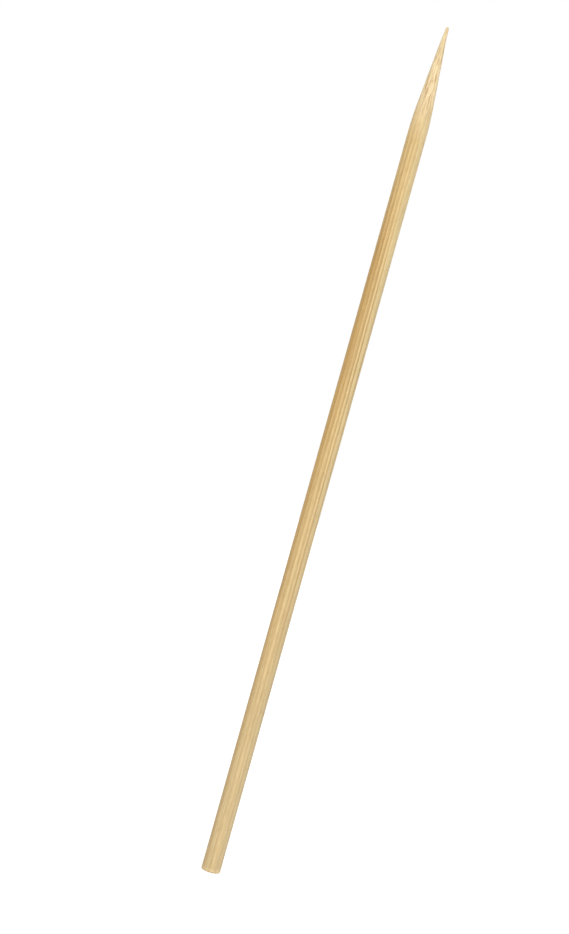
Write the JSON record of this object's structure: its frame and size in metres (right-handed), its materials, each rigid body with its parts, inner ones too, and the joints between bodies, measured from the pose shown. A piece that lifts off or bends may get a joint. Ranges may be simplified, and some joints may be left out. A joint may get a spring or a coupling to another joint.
{
  "type": "bamboo skewer",
  "caption": "Straight round bamboo food skewer, sawn square at the butt and ground to a long, slightly blunt point.",
  "frame": {"origin": "centre of the flat butt face", "axes": "+Z along the stick from the butt to the tip; the stick is round, so X and Y are free"},
  "size_m": [0.0044, 0.0044, 0.2],
  "materials": {
    "bamboo": "bare straw-coloured bamboo, matte, with fine fibre lines along the stick"
  },
  "bodies": {
    "root": {"skewer": "bamboo"}
  },
  "joints": []
}
